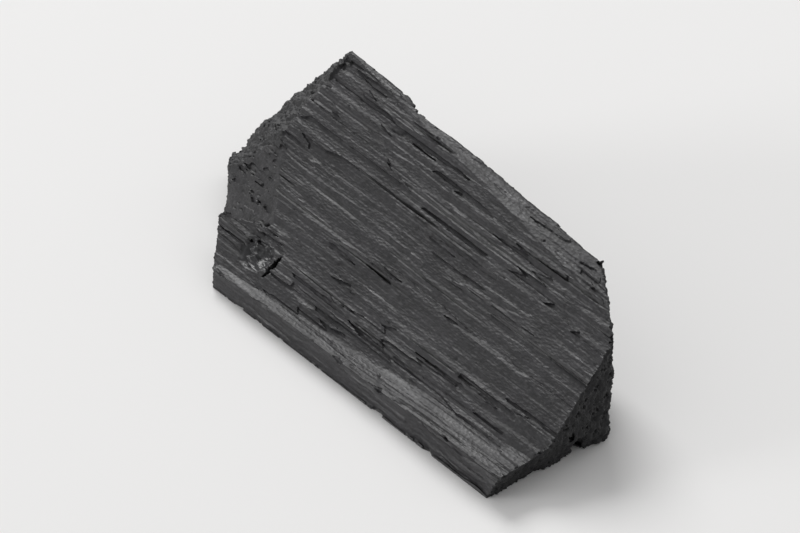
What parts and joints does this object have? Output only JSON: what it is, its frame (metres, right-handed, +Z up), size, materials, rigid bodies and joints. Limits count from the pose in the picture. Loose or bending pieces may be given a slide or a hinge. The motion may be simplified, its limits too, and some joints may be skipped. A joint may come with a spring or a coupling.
{
  "type": "bamboo charcoal chip",
  "caption": "Splinter of carbonised bamboo culm wall: a broad split face climbs along the grain from a thin front edge to a thick back edge, between broken ends.",
  "frame": {"origin": "middle of the chip's box, on the surface that it lies on", "axes": "+X along the grain, towards the squarely broken end; +Y from the thin front edge to the thick back edge; +Z up"},
  "size_m": [0.017, 0.0064, 0.0042],
  "materials": {
    "charcoal": "matt black charcoal with fine grain lines, a faint silvery gloss on fresh splits"
  },
  "bodies": {
    "root": {"charcoal_chip": "charcoal"}
  },
  "joints": []
}
